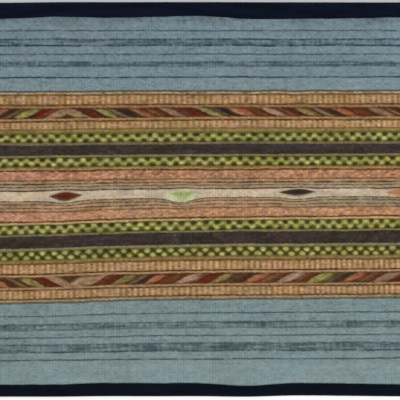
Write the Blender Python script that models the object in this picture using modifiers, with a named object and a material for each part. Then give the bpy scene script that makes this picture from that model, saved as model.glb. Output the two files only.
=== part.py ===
# A weft-faced woven tapestry lying flat, face up, with a tape binding folded over each warp end.
# Metres, +Z up. The weft runs along X and the warp along Y. The origin is under the middle of the cloth.
from math import cos, exp, floor, pi, sin

import bmesh
import bpy

MM = 0.001

# Whole object
LENGTH = 720 * MM  # along the weft, over the ends of the tapes
HEIGHT = 500 * MM  # along the warp, over the folds of both tapes
CLOTH_THICKNESS = 2.4 * MM
GAP = 0.3 * MM  # left between the cloth and the tapes

# Binding tape
TAPE_THICKNESS = 0.9 * MM
TAPE_BACK_WIDTH = 21.5 * MM  # of the leg on the underside, whose edge is straight
TAPE_COLUMNS = 48
FOLD_STEPS = 6
FOLD_RADIUS = (CLOTH_THICKNESS + 2 * GAP + 2 * TAPE_THICKNESS) / 2

# Cloth within the tapes. It lies level on the surface and rises to pass over the back leg of each tape.
SELVEDGE_INSET = 2.0 * MM  # from the tapes' ends to the mean line of each selvedge
SELVEDGE_WAVE = 0.7 * MM
SELVEDGE_WAVE_LENGTHS = (195 * MM, 75 * MM)
SELVEDGE_REACH = 40 * MM  # how far into the cloth the selvedge's wander is felt
SELVEDGE_ROUNDING = 1.2 * MM
EDGE_DEPTH = FOLD_RADIUS  # from the fold to the cloth's warp ends
LIFT = TAPE_THICKNESS + GAP
RISE_TOP = TAPE_BACK_WIDTH + 1.0 * MM  # the cloth is fully lifted up to this depth
RISE_FOOT = TAPE_BACK_WIDTH + 14.0 * MM  # and level on the surface from here on
STEP_WIDTH = 1.6 * MM  # over which the surface goes from one band's height to the next

# Bands from the upper fold to the lower one. drop is the share of the weft's sag that the band's upper
# edge takes, since the wefts were beaten down unevenly: the lower half slopes, and the ends run straight.
BAND_COLUMNS = ("name", "width_mm", "raised_mm", "drop", "yarn")
BANDS = (
    ("upper_ground", 112.2, 0.00, 0.00, "blue"),
    ("upper_outer_ribs", 20.2, 0.20, 0.15, "tan"),
    ("upper_rope", 13.2, 0.30, 0.25, "rust"),
    ("upper_inner_ribs", 18.2, 0.20, 0.45, "tan"),
    ("upper_outer_spots", 13.7, 0.40, 0.40, "green"),
    ("upper_dark", 17.9, -0.20, 0.35, "dark"),
    ("upper_inner_spots", 13.0, 0.40, 0.35, "green"),
    ("upper_peach", 16.8, 0.10, 0.35, "peach"),
    ("upper_lines", 12.7, -0.10, 0.45, "ivory"),
    ("ivory", 9.1, 0.10, 0.50, "ivory"),
    ("lower_lines", 12.7, -0.10, 0.75, "ivory"),
    ("lower_peach", 13.1, 0.10, 0.90, "peach"),
    ("lower_inner_spots", 16.4, 0.40, 1.05, "green"),
    ("lower_dark", 19.6, -0.20, 1.05, "dark"),
    ("lower_outer_spots", 13.5, 0.40, 0.90, "green"),
    ("lower_inner_ribs", 20.8, 0.20, 0.95, "tan"),
    ("lower_rope", 13.2, 0.30, 0.90, "rust"),
    ("lower_outer_ribs", 21.7, 0.20, 0.90, "tan"),
    ("lower_ground", 122.0, 0.00, 0.85, "blue"),
)
LAST_DROP = 0.10  # at the lower fold

# The unevenness across the cloth, at stations spaced evenly from the left tape end to the right one.
# sag is how far the wefts hang, the widths are those of the tapes' face legs, and each fold lies in
# from the straight line by its own column.
STATION_COLUMNS = ("sag", "upper_width", "lower_width", "upper_in", "lower_in")
STATIONS_MM = (
    (6.8, 20.0, 15.2, 0.9, 0.0),
    (6.6, 19.6, 15.1, 0.9, 0.2),
    (6.2, 20.3, 15.0, 0.8, 0.4),
    (5.0, 18.4, 15.2, 0.1, 0.4),
    (2.6, 19.7, 16.5, 0.1, 1.0),
    (1.0, 18.8, 16.3, 0.1, 0.9),
    (0.0, 17.6, 16.2, 0.0, 1.0),
    (-0.8, 21.0, 13.8, 0.2, 0.4),
    (-1.0, 21.0, 15.6, 0.3, 1.9),
    (-1.6, 20.4, 15.4, 0.4, 1.5),
    (-2.2, 19.1, 15.0, 0.5, 0.9),
    (-2.4, 19.6, 15.2, 0.4, 0.6),
    (-2.4, 20.0, 15.2, 0.3, 0.4),
)

# Rope bands: slanted leaves that lean away from a mirror line
ROPE_PITCH = 21.6 * MM
ROPE_MIRROR_X = -168.0 * MM
ROPE_LEAN = 26.0 * MM  # how far a leaf runs along the weft from the band's one side to the other
ROPE_RAISED = 0.80 * MM
ROPE_ROWS = 4  # of faces across each rope band

# Lenses in the ivory band, with the wefts beside them pushed apart
LENS_FIRST_X = -316.5 * MM
LENS_PITCH = 146.5 * MM
LENS_COUNT = 5
LENS_REACH = 19.0 * MM  # half the length of the swelling round it
LENS_CORE = 13.5 * MM  # half the length of its raised middle
LENS_RAISED = 0.45 * MM
LENS_PUSH_UP = 1.4 * MM
LENS_PUSH_DOWN = 2.3 * MM
LENS_FADE = 14.0 * MM  # how far above and below the push dies out

# Mesh of the cloth
COLUMN_STEP = ROPE_PITCH / 2  # rope bands and the ivory band get one more cut in each step
NARROWEST_COLUMN = 3.0 * MM
NARROWEST_ROW = 0.1 * MM
GROUND_ROWS = 2
SHARP_ANGLE = pi / 4
MERGE = 0.02 * MM

# Yarn colours (linear RGB) and the roughness of the wool and of the tape
YARNS = {
    "blue": (0.195, 0.270, 0.300),
    "tan": (0.430, 0.275, 0.150),
    "rust": (0.235, 0.070, 0.040),
    "green": (0.220, 0.240, 0.060),
    "dark": (0.045, 0.036, 0.042),
    "peach": (0.420, 0.210, 0.140),
    "ivory": (0.520, 0.440, 0.320),
}
TAPE_COLOUR = (0.006, 0.008, 0.016)
WOOL_ROUGHNESS = 0.95
TAPE_ROUGHNESS = 0.85


def smooth(t):
    t = min(max(t, 0.0), 1.0)
    return t * t * (3 - 2 * t)


def band_edges():
    """Depth below the upper fold of each band's upper edge, and of the last one's lower edge."""
    edges = [0.0]
    for band in BANDS:
        edges.append(edges[-1] + band[BAND_COLUMNS.index("width_mm")] * MM)
    return edges


EDGES = band_edges()
BAND_INDEX = {band[0]: i for i, band in enumerate(BANDS)}
IVORY_MIDDLE = (EDGES[BAND_INDEX["ivory"]] + EDGES[BAND_INDEX["ivory"] + 1]) / 2


def across(column, x):
    """The named station value at x, by a smooth curve through the stations."""
    k = STATION_COLUMNS.index(column)
    values = [row[k] for row in STATIONS_MM]
    s = (x / LENGTH + 0.5) * (len(values) - 1)
    i = min(max(floor(s), 0), len(values) - 2)
    before, start, end, after = (values[min(max(j, 0), len(values) - 1)] for j in range(i - 1, i + 3))
    t = min(max(s - i, 0.0), 1.0)
    slope_in = (end - before) / 2
    slope_out = (after - start) / 2
    curve = 3 * (end - start) - 2 * slope_in - slope_out
    twist = 2 * (start - end) + slope_in + slope_out
    return (start + t * (slope_in + t * (curve + t * twist))) * MM


def band_at(depth):
    for i in range(len(BANDS)):
        if depth <= EDGES[i + 1]:
            return i
    return len(BANDS) - 1


def sag_share(depth):
    i = band_at(depth)
    k = BAND_COLUMNS.index("drop")
    drops = [band[k] for band in BANDS] + [LAST_DROP]
    t = (depth - EDGES[i]) / (EDGES[i + 1] - EDGES[i])
    return drops[i] + (drops[i + 1] - drops[i]) * min(max(t, 0.0), 1.0)


def lens_share(x, reach):
    """1 at the middle of a lens, fading to 0 along the weft."""
    share = 0.0
    for i in range(LENS_COUNT):
        middle = LENS_FIRST_X + i * LENS_PITCH
        share += exp(-(((x - middle) / reach) ** 2))
    return share


def weft_y(x, depth):
    """Where the weft that lies at this depth in the weave crosses x."""
    push = LENS_PUSH_DOWN if depth > IVORY_MIDDLE else -LENS_PUSH_UP
    away = abs(depth - IVORY_MIDDLE) / LENS_FADE
    nearness = smooth(away * 4) * exp(-away * away)
    drop = across("sag", x) * sag_share(depth) + push * nearness * lens_share(x, LENS_REACH)
    upper = HEIGHT / 2 - across("upper_in", x)
    lower = -HEIGHT / 2 + across("lower_in", x)
    y = HEIGHT / 2 - depth - drop
    return min(max(y, lower + EDGE_DEPTH), upper - EDGE_DEPTH)


def base_height(depth):
    """The band's height above the ground weave, with a soft step at each edge."""
    k = BAND_COLUMNS.index("raised_mm")
    height = BANDS[0][k] * MM
    for i in range(1, len(BANDS)):
        step = (BANDS[i][k] - BANDS[i - 1][k]) * MM
        height += step * smooth((depth - EDGES[i]) / STEP_WIDTH + 0.5)
    return height


def rope_height(x, depth, name):
    """Leaves of the rope band: rounded ridges that run aslant and meet in grooves."""
    start = EDGES[BAND_INDEX[name]]
    width = EDGES[BAND_INDEX[name] + 1] - start
    t = (depth - start) / width
    if t <= 0.0 or t >= 1.0:
        return 0.0
    lean = ROPE_LEAN if name == "upper_rope" else -ROPE_LEAN
    from_mirror = abs(x - ROPE_MIRROR_X) - lean * (smooth(t) - 0.5)
    ridge = sin(pi * (from_mirror / ROPE_PITCH)) ** 2
    return ROPE_RAISED * ridge * sin(pi * t)


def lens_height(x, depth):
    away = (depth - IVORY_MIDDLE) / (EDGES[BAND_INDEX["ivory"] + 1] - IVORY_MIDDLE)
    if abs(away) >= 1.0:
        return 0.0
    return LENS_RAISED * (1 - away * away) * lens_share(x, LENS_CORE)


def underside(y):
    """Height of the cloth's underside: level, and lifted over the back leg of each tape."""
    depth = HEIGHT / 2 - abs(y)
    return LIFT * min(max((RISE_FOOT - depth) / (RISE_FOOT - RISE_TOP), 0.0), 1.0)


def selvedge_rounding(x):
    """1 over the cloth, falling to a half at each selvedge."""
    inside = LENGTH / 2 - SELVEDGE_INSET - abs(x)
    t = min(max(inside / SELVEDGE_ROUNDING, 0.0), 1.0)
    return 0.5 + 0.5 * (1 - (1 - t) ** 2) ** 0.5


def cloth_top(x, depth, y):
    raised = base_height(depth) + lens_height(x, depth)
    for name in ("upper_rope", "lower_rope"):
        raised += rope_height(x, depth, name)
    return underside(y) + (CLOTH_THICKNESS + raised) * selvedge_rounding(x)


def selvedge_x(x, depth):
    """The selvedges wander a little, because each weft turns there by hand."""
    side = 1 if x > 0 else -1
    long_wave, short_wave = (2 * pi * depth / length for length in SELVEDGE_WAVE_LENGTHS)
    wave = sin(long_wave) + sin(short_wave + side) / 2
    nearness = smooth(1 - (LENGTH / 2 - abs(x)) / SELVEDGE_REACH)
    return x + side * SELVEDGE_WAVE * wave * nearness


def column_places():
    """Columns of the cloth's mesh, set out from the rope's mirror line, and the few that round each side."""
    side = LENGTH / 2 - SELVEDGE_INSET
    round_middle = side - SELVEDGE_ROUNDING / 3
    round_start = side - SELVEDGE_ROUNDING
    places = [-side, -round_middle, -round_start]
    first = floor((NARROWEST_COLUMN - round_start - ROPE_MIRROR_X) / COLUMN_STEP) + 1
    x = ROPE_MIRROR_X + first * COLUMN_STEP
    while x < round_start - NARROWEST_COLUMN:
        places.append(x)
        x += COLUMN_STEP
    return places + [round_start, round_middle, side]


def row_places():
    """Rows of the cloth's mesh: its two ends, both lines of each rise, and the steps between the bands."""
    rows = [EDGE_DEPTH, RISE_TOP, RISE_FOOT]
    for i, band in enumerate(BANDS):
        start = EDGES[i]
        end = EDGES[i + 1]
        if "ground" in band[0]:
            low = max(start + STEP_WIDTH / 2, RISE_FOOT)
            high = min(end - STEP_WIDTH / 2, HEIGHT - RISE_FOOT)
            rows += [low + (high - low) * n / GROUND_ROWS for n in range(GROUND_ROWS + 1)]
            continue
        inner = 1
        if "rope" in band[0]:
            inner = ROPE_ROWS
        if band[0] == "ivory":
            inner = 2
        first = start + STEP_WIDTH / 2
        last = end - STEP_WIDTH / 2
        rows += [first + (last - first) * n / inner for n in range(inner + 1)]
    rows += [HEIGHT - RISE_FOOT, HEIGHT - RISE_TOP, HEIGHT - EDGE_DEPTH]
    rows.sort()
    return [row for i, row in enumerate(rows) if i == 0 or row - rows[i - 1] > NARROWEST_ROW]


def flat_grid(bm, columns, rows):
    """A flat grid whose points lie at these column and row places."""
    bmesh.ops.create_grid(bm, x_segments=len(columns) - 1, y_segments=len(rows) - 1, size=0.5)
    for vert in bm.verts:
        i = round((vert.co.x + 0.5) * (len(columns) - 1))
        j = round((vert.co.y + 0.5) * (len(rows) - 1))
        vert.co = (columns[i], rows[j], 0.0)


def cut_finer(bm, name):
    """Halves the columns between the first and last row of a band."""
    start = EDGES[BAND_INDEX[name]]
    end = EDGES[BAND_INDEX[name] + 1]
    runs = []
    for edge in bm.edges:
        a, b = (vert.co for vert in edge.verts)
        level = abs(a.y - b.y) < NARROWEST_ROW and abs(a.x - b.x) > NARROWEST_COLUMN
        if level and start < a.y < end:
            runs.append(edge)
    bmesh.ops.subdivide_edges(bm, edges=runs, cuts=1, use_grid_fill=True)


def add_underside(bm):
    """Draws the rim down to the underside and closes it, with a straight crease at each line of the rises."""
    rim = [edge for edge in bm.edges if edge.is_boundary]
    new = bmesh.ops.extrude_edge_only(bm, edges=rim)["geom"]
    for vert in (part for part in new if isinstance(part, bmesh.types.BMVert)):
        vert.co.z = 0.0
    loop = [part for part in new if isinstance(part, bmesh.types.BMEdge)]
    floor_faces = bmesh.ops.contextual_create(bm, geom=loop)["faces"]
    for depth in (RISE_TOP, RISE_FOOT, HEIGHT - RISE_FOOT, HEIGHT - RISE_TOP):
        parts = set(floor_faces)
        for face in floor_faces:
            parts.update(face.edges)
            parts.update(face.verts)
        crease = (0, HEIGHT / 2 - depth, 0)
        bmesh.ops.bisect_plane(bm, geom=list(parts), plane_co=crease, plane_no=(0, 1, 0), dist=MERGE)
        floor_faces = [face for face in bm.faces if all(vert.co.z == 0.0 for vert in face.verts)]
    for vert in {vert for face in floor_faces for vert in face.verts}:
        vert.co.z = underside(vert.co.y)


def material(name, colour, roughness):
    made = bpy.data.materials.new(name)
    made.use_nodes = True
    shader = made.node_tree.nodes["Principled BSDF"]
    shader.inputs["Base Color"].default_value = (*colour, 1.0)
    shader.inputs["Roughness"].default_value = roughness
    shader.inputs["Metallic"].default_value = 0.0
    return made


def new_object(name, bm, collection):
    bmesh.ops.recalc_face_normals(bm, faces=bm.faces[:])
    mesh = bpy.data.meshes.new(name)
    bm.to_mesh(mesh)
    bm.free()
    made = bpy.data.objects.new(name, mesh)
    collection.objects.link(made)
    return made


def woven_panel(collection):
    bm = bmesh.new()
    flat_grid(bm, column_places(), row_places())
    for name in ("upper_rope", "ivory", "lower_rope"):
        cut_finer(bm, name)
    yarns = list(YARNS)
    yarn_column = BAND_COLUMNS.index("yarn")
    for face in bm.faces:
        band = BANDS[band_at(face.calc_center_median().y)]
        face.material_index = yarns.index(band[yarn_column])
    for vert in bm.verts:
        depth = vert.co.y
        x = vert.co.x
        y = weft_y(x, depth)
        vert.co = (selvedge_x(x, depth), y, cloth_top(x, depth, y))
    add_underside(bm)
    panel = new_object("woven_panel", bm, collection)
    for yarn, colour in YARNS.items():
        panel.data.materials.append(material("wool_" + yarn, colour, WOOL_ROUGHNESS))
    panel.data.shade_smooth()
    panel.data.set_sharp_from_angle(angle=SHARP_ANGLE)
    return panel


def tape_section(face_width):
    """The tape's outer line from the edge of its face leg round the fold to the edge of its back leg, as
    depth in from the fold and height."""
    top = 2 * FOLD_RADIUS
    points = [(face_width, top), ((face_width + FOLD_RADIUS) / 2, top), (FOLD_RADIUS, top)]
    for n in range(1, FOLD_STEPS):
        angle = pi * n / FOLD_STEPS
        points.append((FOLD_RADIUS - FOLD_RADIUS * sin(angle), FOLD_RADIUS + FOLD_RADIUS * cos(angle)))
    return points + [(FOLD_RADIUS, 0.0), (TAPE_BACK_WIDTH, 0.0)]


def binding(name, side, width_column, in_column, collection):
    """A tape folded over one end of the cloth: side is 1 for the upper end and -1 for the lower."""
    columns = [LENGTH * (n / TAPE_COLUMNS - 0.5) for n in range(TAPE_COLUMNS + 1)]
    rows = [float(n) for n in range(len(tape_section(0.0)))]
    bm = bmesh.new()
    flat_grid(bm, columns, rows)
    for vert in bm.verts:
        x = vert.co.x
        depth, z = tape_section(across(width_column, x))[round(vert.co.y)]
        fold = HEIGHT / 2 - across(in_column, x)
        if depth == TAPE_BACK_WIDTH:
            fold = HEIGHT / 2
        vert.co = (x, side * (fold - depth), z)
    tape = new_object(name, bm, collection)
    if tape.data.polygons[0].normal.z < 0:
        tape.data.flip_normals()
    shell = tape.modifiers.new("tape thickness", "SOLIDIFY")
    shell.thickness = TAPE_THICKNESS
    shell.offset = -1.0
    shell.use_even_offset = True
    tape.data.materials.append(material("tape_" + name, TAPE_COLOUR, TAPE_ROUGHNESS))
    tape.data.shade_smooth()
    tape.data.set_sharp_from_angle(angle=SHARP_ANGLE)
    return tape


def main():
    for old in list(bpy.data.objects):
        bpy.data.objects.remove(old, do_unlink=True)
    collection = bpy.data.collections.new("woven_tapestry")
    bpy.context.scene.collection.children.link(collection)
    woven_panel(collection)
    binding("upper_binding", 1, "upper_width", "upper_in", collection)
    binding("lower_binding", -1, "lower_width", "lower_in", collection)


main()
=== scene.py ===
from functools import reduce
from math import pi

import bpy
import numpy as np
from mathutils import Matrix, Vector


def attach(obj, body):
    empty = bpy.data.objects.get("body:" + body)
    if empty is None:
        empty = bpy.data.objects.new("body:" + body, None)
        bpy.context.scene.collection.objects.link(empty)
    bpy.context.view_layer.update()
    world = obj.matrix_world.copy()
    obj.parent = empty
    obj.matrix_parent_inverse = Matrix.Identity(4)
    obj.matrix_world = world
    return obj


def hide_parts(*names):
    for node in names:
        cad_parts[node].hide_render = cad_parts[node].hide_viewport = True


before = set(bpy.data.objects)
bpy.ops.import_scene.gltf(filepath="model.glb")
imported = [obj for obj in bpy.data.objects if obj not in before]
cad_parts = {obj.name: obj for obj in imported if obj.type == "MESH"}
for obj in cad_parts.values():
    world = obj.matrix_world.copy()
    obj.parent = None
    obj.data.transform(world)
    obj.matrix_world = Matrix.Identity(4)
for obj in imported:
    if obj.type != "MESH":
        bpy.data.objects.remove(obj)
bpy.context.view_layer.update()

MM = 0.001

# Whole object, as in the CAD source
LENGTH = 720 * MM
HEIGHT = 500 * MM
CLOTH_THICKNESS = 2.4 * MM
GAP = 0.3 * MM
TAPE_THICKNESS = 0.9 * MM
TAPE_BACK_WIDTH = 21.5 * MM
FOLD_RADIUS = (CLOTH_THICKNESS + 2 * GAP + 2 * TAPE_THICKNESS) / 2
SELVEDGE_INSET = 2.0 * MM
SELVEDGE_WAVE = 0.7 * MM
SELVEDGE_WAVE_LENGTHS = (195 * MM, 75 * MM)
SELVEDGE_REACH = 40 * MM
SELVEDGE_ROUNDING = 1.2 * MM
EDGE_DEPTH = FOLD_RADIUS
LIFT = TAPE_THICKNESS + GAP
RISE_TOP = TAPE_BACK_WIDTH + 1.0 * MM
RISE_FOOT = TAPE_BACK_WIDTH + 14.0 * MM
STEP_WIDTH = 1.6 * MM
CLOTH_WIDTH = LENGTH - 2 * SELVEDGE_INSET

# Bands: name, width and height above the ground in mm, and share of the wefts' sag at the upper edge
BANDS = (
    ("upper_ground", 112.2, 0.00, 0.00),
    ("upper_outer_ribs", 20.2, 0.20, 0.15),
    ("upper_rope", 13.2, 0.30, 0.25),
    ("upper_inner_ribs", 18.2, 0.20, 0.45),
    ("upper_outer_spots", 13.7, 0.40, 0.40),
    ("upper_dark", 17.9, -0.20, 0.35),
    ("upper_inner_spots", 13.0, 0.40, 0.35),
    ("upper_peach", 16.8, 0.10, 0.35),
    ("upper_lines", 12.7, -0.10, 0.45),
    ("ivory", 9.1, 0.10, 0.50),
    ("lower_lines", 12.7, -0.10, 0.75),
    ("lower_peach", 13.1, 0.10, 0.90),
    ("lower_inner_spots", 16.4, 0.40, 1.05),
    ("lower_dark", 19.6, -0.20, 1.05),
    ("lower_outer_spots", 13.5, 0.40, 0.90),
    ("lower_inner_ribs", 20.8, 0.20, 0.95),
    ("lower_rope", 13.2, 0.30, 0.90),
    ("lower_outer_ribs", 21.7, 0.20, 0.90),
    ("lower_ground", 122.0, 0.00, 0.85),
)
LAST_DROP = 0.10  # at the lower fold

# Unevenness across the cloth, at stations spaced evenly from the left end to the right one
STATION_COLUMNS = ("sag", "upper_width", "lower_width", "upper_in", "lower_in")
STATIONS_MM = (
    (6.8, 20.0, 15.2, 0.9, 0.0),
    (6.6, 19.6, 15.1, 0.9, 0.2),
    (6.2, 20.3, 15.0, 0.8, 0.4),
    (5.0, 18.4, 15.2, 0.1, 0.4),
    (2.6, 19.7, 16.5, 0.1, 1.0),
    (1.0, 18.8, 16.3, 0.1, 0.9),
    (0.0, 17.6, 16.2, 0.0, 1.0),
    (-0.8, 21.0, 13.8, 0.2, 0.4),
    (-1.0, 21.0, 15.6, 0.3, 1.9),
    (-1.6, 20.4, 15.4, 0.4, 1.5),
    (-2.2, 19.1, 15.0, 0.5, 0.9),
    (-2.4, 19.6, 15.2, 0.4, 0.6),
    (-2.4, 20.0, 15.2, 0.3, 0.4),
)

# Rope bands: slanted leaves that lean away from a mirror line, and their colours outward from it
ROPE_MIRROR_X = -168.0 * MM
ROPE_LEAN = 36.0 * MM
ROPE_RAISED = 0.80 * MM
ROPE_PITCHES = (21.6 * MM, 21.0 * MM)  # the second in the lower rope to the right of the mirror line
ROPE_FIRST_EDGES = (0.15, -0.90)  # shift of the leaves' edges in leaves, for the same two places
ROPE_UNEVEN = 0.22
ROPE_YARNS = ("beige", "crimson", "lime", "black", "rust", "maroon", "dusk")
ROPE_TWO_TONED = (1, 2, 3)  # leaves with a paler leading side, the crimson one being 0
ROPE_TAPER = 0.24  # by which a leaf's dark edges widen towards its ends
ROPE_DARK_EDGES = ((0.60, 0.34), (0.12, 0.18))  # where in a leaf they start, and over what share they deepen
ROPE_PALE_STREAK = (0.22, 0.32)  # its middle and half width in a leaf
# Wedges at the mirror line of the lower and of the upper rope: share of the band's height, reach and shift
ROPE_WEDGES = ((0.95, 22.0 * MM, 3 * MM), (0.58, 16.0 * MM, 0.0))

# Lenses in the ivory band, with the wefts beside them pushed apart, and their colours from the left
LENS_FIRST_X = -316.5 * MM
LENS_PITCH = 146.5 * MM
LENS_YARNS = ("orange", "crimson", "pale_green", "black", "orange")
LENS_REACH = 19.0 * MM
LENS_CORE = 13.5 * MM
LENS_RAISED = 0.45 * MM
LENS_SWELLING = 4.5 * MM  # half its height
LENS_PUSH_UP = 1.4 * MM
LENS_FADE = 14.0 * MM
LENS_OUTLINE = 0.9 * MM
LENS_BLURS = (1.3 * MM, 1.5 * MM, 2.4 * MM)  # over which its edge, its outline and its core fade
LENS_COLUMNS = (
    "half_length_mm", "half_height_mm", "low_mm", "push_down_mm", "core_rise_mm", "core", "edge", "tip",
)
LENSES = {
    "orange": (36.0, 5.6, -0.3, 3.6, 0.0, "orange", "orange", "orange"),
    "crimson": (22.0, 3.1, -0.2, 3.4, 0.0, "lens_red", "maroon", "umber"),
    "pale_green": (25.0, 4.8, 1.5, 6.6, 2.0, "pale_green", "pale_leaf", "pale_leaf"),
    "black": (24.0, 2.9, -1.1, 3.0, 0.0, "black", "plum", "umber"),
}

# Weave
WARPS = 200
WARP = CLOTH_WIDTH / WARPS  # on average
WARP_STATIONS = (  # x in mm, and how many warps lie to its left
    (-358.0, 0.0), (-240.0, 32.6), (-190.0, 47.2), (95.0, 124.5), (240.0, 167.5), (358.0, 200.0),
)
PICK = 1.10 * MM  # target spacing; each stripe has a whole number of picks
RIB_RELIEF = 0.30 * MM
BEAD_RELIEF = 0.14 * MM
COLUMN_RELIEF = 0.22 * MM  # by which the light columns of the ribbed bands stand above the dark ones
SPOT_RELIEF = 0.45 * MM
SPOT_HOLLOW = 0.7  # depth of a dark spot as a share of that
SPOT_WARPS = 4  # from one spot to the next in a row
LIGHT_SPOT = (3.9 * MM, 2.5 * MM)  # half width and half height
DARK_SPOT = (4.1 * MM, 2.6 * MM)
SPOT_LINK = 1.5 * MM  # half the thickness of the zigzag that joins the light or the dark spots
BEAD_SHARE = 0.4  # how far a bead's colour is that of its own pick all over, which makes edges zigzag
LINES_BEAD_SHARE = 0.15  # the same among the thin lines beside the ivory band
WANDER = 0.65 * MM  # by which a weft strays from its line
WANDER_FADE = 30 * MM  # at each end of the cloth
TURN = 0.35 * MM  # by which the wefts bulge where they turn at a selvedge
HIDDEN_DEPTH = (16 * MM, 12 * MM)  # of cloth under the face leg of the upper and of the lower tape
HIDDEN_ROWS = 3
ROWS_PER_PICK = 1.5
BACK_PLAIN_STEP = 8  # picks from one row of the back to the next
BACK_PATTERN_STEP = 2.5  # the same in a patterned stripe
BACK_INSIDE = 0.02  # picks inside a stripe, where the back takes its colour

# Smooth random terms, each with its strength, its sizes along the weft and down the weave in mm, and its seed
WANDER_TERMS = ((0.7, 34, 11, 5), (0.5, 11, 5, 6))
TONE_TERMS = ((0.05, 60, 14, 22), (0.04, 4, 26, 24), (0.08, 4.6, 3.6, 26), (0.05, 11, 7, 27))
WARMTH_TERMS = ((0.045, 40, 12, 25), (0.035, 9, 6, 28))
TICKS = (0.24, 2.3, 9, 58)

# Share of a stripe's second yarn by its kind: the mean, terms as above, and a random term for each bead with
# its strength and seed
SHARES = {
    "plain": (0.0, (), (0.0, 12)),
    "broken": (0.10, (TICKS, (0.42, 13, 3, 11)), (0.2, 12)),
    "faint": (0.50, (TICKS, (0.45, 22, 2.6, 13)), (0.2, 12)),
    "filled": (0.32, (TICKS, (0.45, 28, 2.2, 14)), (0.2, 12)),
    "dashed": (0.17, ((0.72, 5, 1.9, 15),), (0.34, 16)),
    "line": (0.12, ((0.5, 9, 1.9, 15),), (0.3, 16)),
    "flecked": (0.35, ((0.85, 3.6, 2.2, 18),), (0.5, 19)),
    "streaked": (0.55, ((0.8, 44, 9, 49), (0.3, 18, 1.8, 50), (0.35, 5, 2.6, 51)), (0.45, 52)),
}
FLECK_SLANT = 1.2
LOWER_DARK = 0.92  # the lower dark stripe against the upper one

# Where the wool is lighter or darker: by how much, then start and width of the fade down the weave and of the
# one along the weft, in mm. A negative width runs up or to the left.
TONE_AND_SHADE_PLACES = (
    (0.10, (452, 12), None),
    # painted shadow of the upper tape: the wool darkens from 28 mm below the upper fold up to the tape
    (-0.12, (28, -6), None),
    (0.13, (105, -30), (205, 40)),
    (-0.06, (390, 20), (-190, -40)),
)
ROSE_FADE = (-80, -160)  # start and width: the peach wefts turn pinker
LICHEN_FADES = ((-60, -150), (60, 80))  # the mauve ones turn greyer to the left and to the right
BORDER_FADES = ((111, 1), (378, -1))  # where the patterned border begins and where it ends
LINES_FADE = (24, -2)  # of the thin lines, out from the middle of the ivory band
IVORY_FADE = (6, -2)  # of that band itself
TAPE_SHADE_PATCHES = (0.15, 19, 9, 30)  # painted shade beside the upper tape, patchy: a term as above
TAPE_SHADE_MEAN = 0.13
TAPE_SHADE_FADE = (34, -9)
SPECKS = (1.0, 2.9, 1.7, 29)  # a term as above; they are fainter low down and in the ivory band
SPECKS_FADE = (440, 12)

# Yarn colours as 8-bit sRGB
YARNS = {
    "blue": (115, 134, 142), "pale_blue": (119, 137, 143), "lake": (115, 132, 134),
    "deep_blue": (64, 82, 91), "deep_lake": (64, 81, 84), "slate": (50, 66, 75),
    "night": (32, 50, 62), "dim_lake": (54, 70, 74), "soft_lake": (78, 95, 98),
    "grey_green": (76, 79, 70), "grey_olive": (86, 80, 58), "cream": (162, 128, 94),
    "buff": (161, 127, 86), "fawn": (156, 124, 91), "dull_cream": (146, 110, 76),
    "grey_sand": (156, 134, 110), "pale_sand": (166, 146, 124), "wheat": (183, 149, 108),
    "tan": (181, 148, 108), "light_tan": (188, 156, 115), "dull_tan": (174, 142, 103),
    "pink_tan": (178, 138, 108), "ochre": (128, 92, 50), "amber": (128, 92, 34),
    "olive_tan": (142, 118, 66), "brown": (76, 40, 12), "dark_brown": (58, 36, 8),
    "walnut": (80, 50, 20), "khaki": (103, 88, 44), "pale_stone": (146, 126, 101),
    "lichen": (150, 138, 110), "olive_cream": (136, 116, 70), "olive_edge": (112, 100, 50),
    "olive_brown": (110, 90, 48), "olive_sand": (128, 108, 68), "moss": (92, 87, 34),
    "leaf": (126, 136, 60), "light_green": (176, 172, 96), "pale_moss": (174, 168, 114),
    # dark_green: the dark spots' colour, partly dark green yarn and partly painted shade of their hollows
    "dark_green": (50, 45, 4), "charcoal": (50, 42, 28), "plum": (59, 45, 45),
    "ink": (53, 53, 54), "grey_cream": (106, 97, 70), "pale_grey": (124, 115, 83),
    "sage": (113, 104, 70), "mist": (131, 122, 94), "peach": (155, 108, 78),
    "apricot": (158, 117, 84), "peach_light": (189, 142, 109), "rose": (172, 118, 98),
    "umber": (66, 42, 17), "bark": (90, 68, 28), "chestnut": (114, 81, 50),
    "taupe": (54, 42, 22), "sand": (163, 132, 98), "mauve": (163, 130, 100),
    "pale_mauve": (152, 129, 102), "ivory": (188, 176, 149), "blush": (190, 167, 143),
    "beige": (142, 114, 84), "crimson": (100, 20, 9), "lime": (134, 130, 70),
    "black": (36, 30, 24), "rust": (152, 84, 58), "maroon": (92, 48, 22),
    "dusk": (150, 119, 98), "pale_green": (146, 154, 98), "orange": (178, 124, 88),
    "lens_red": (84, 24, 13), "pale_leaf": (188, 188, 145),
}

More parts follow.
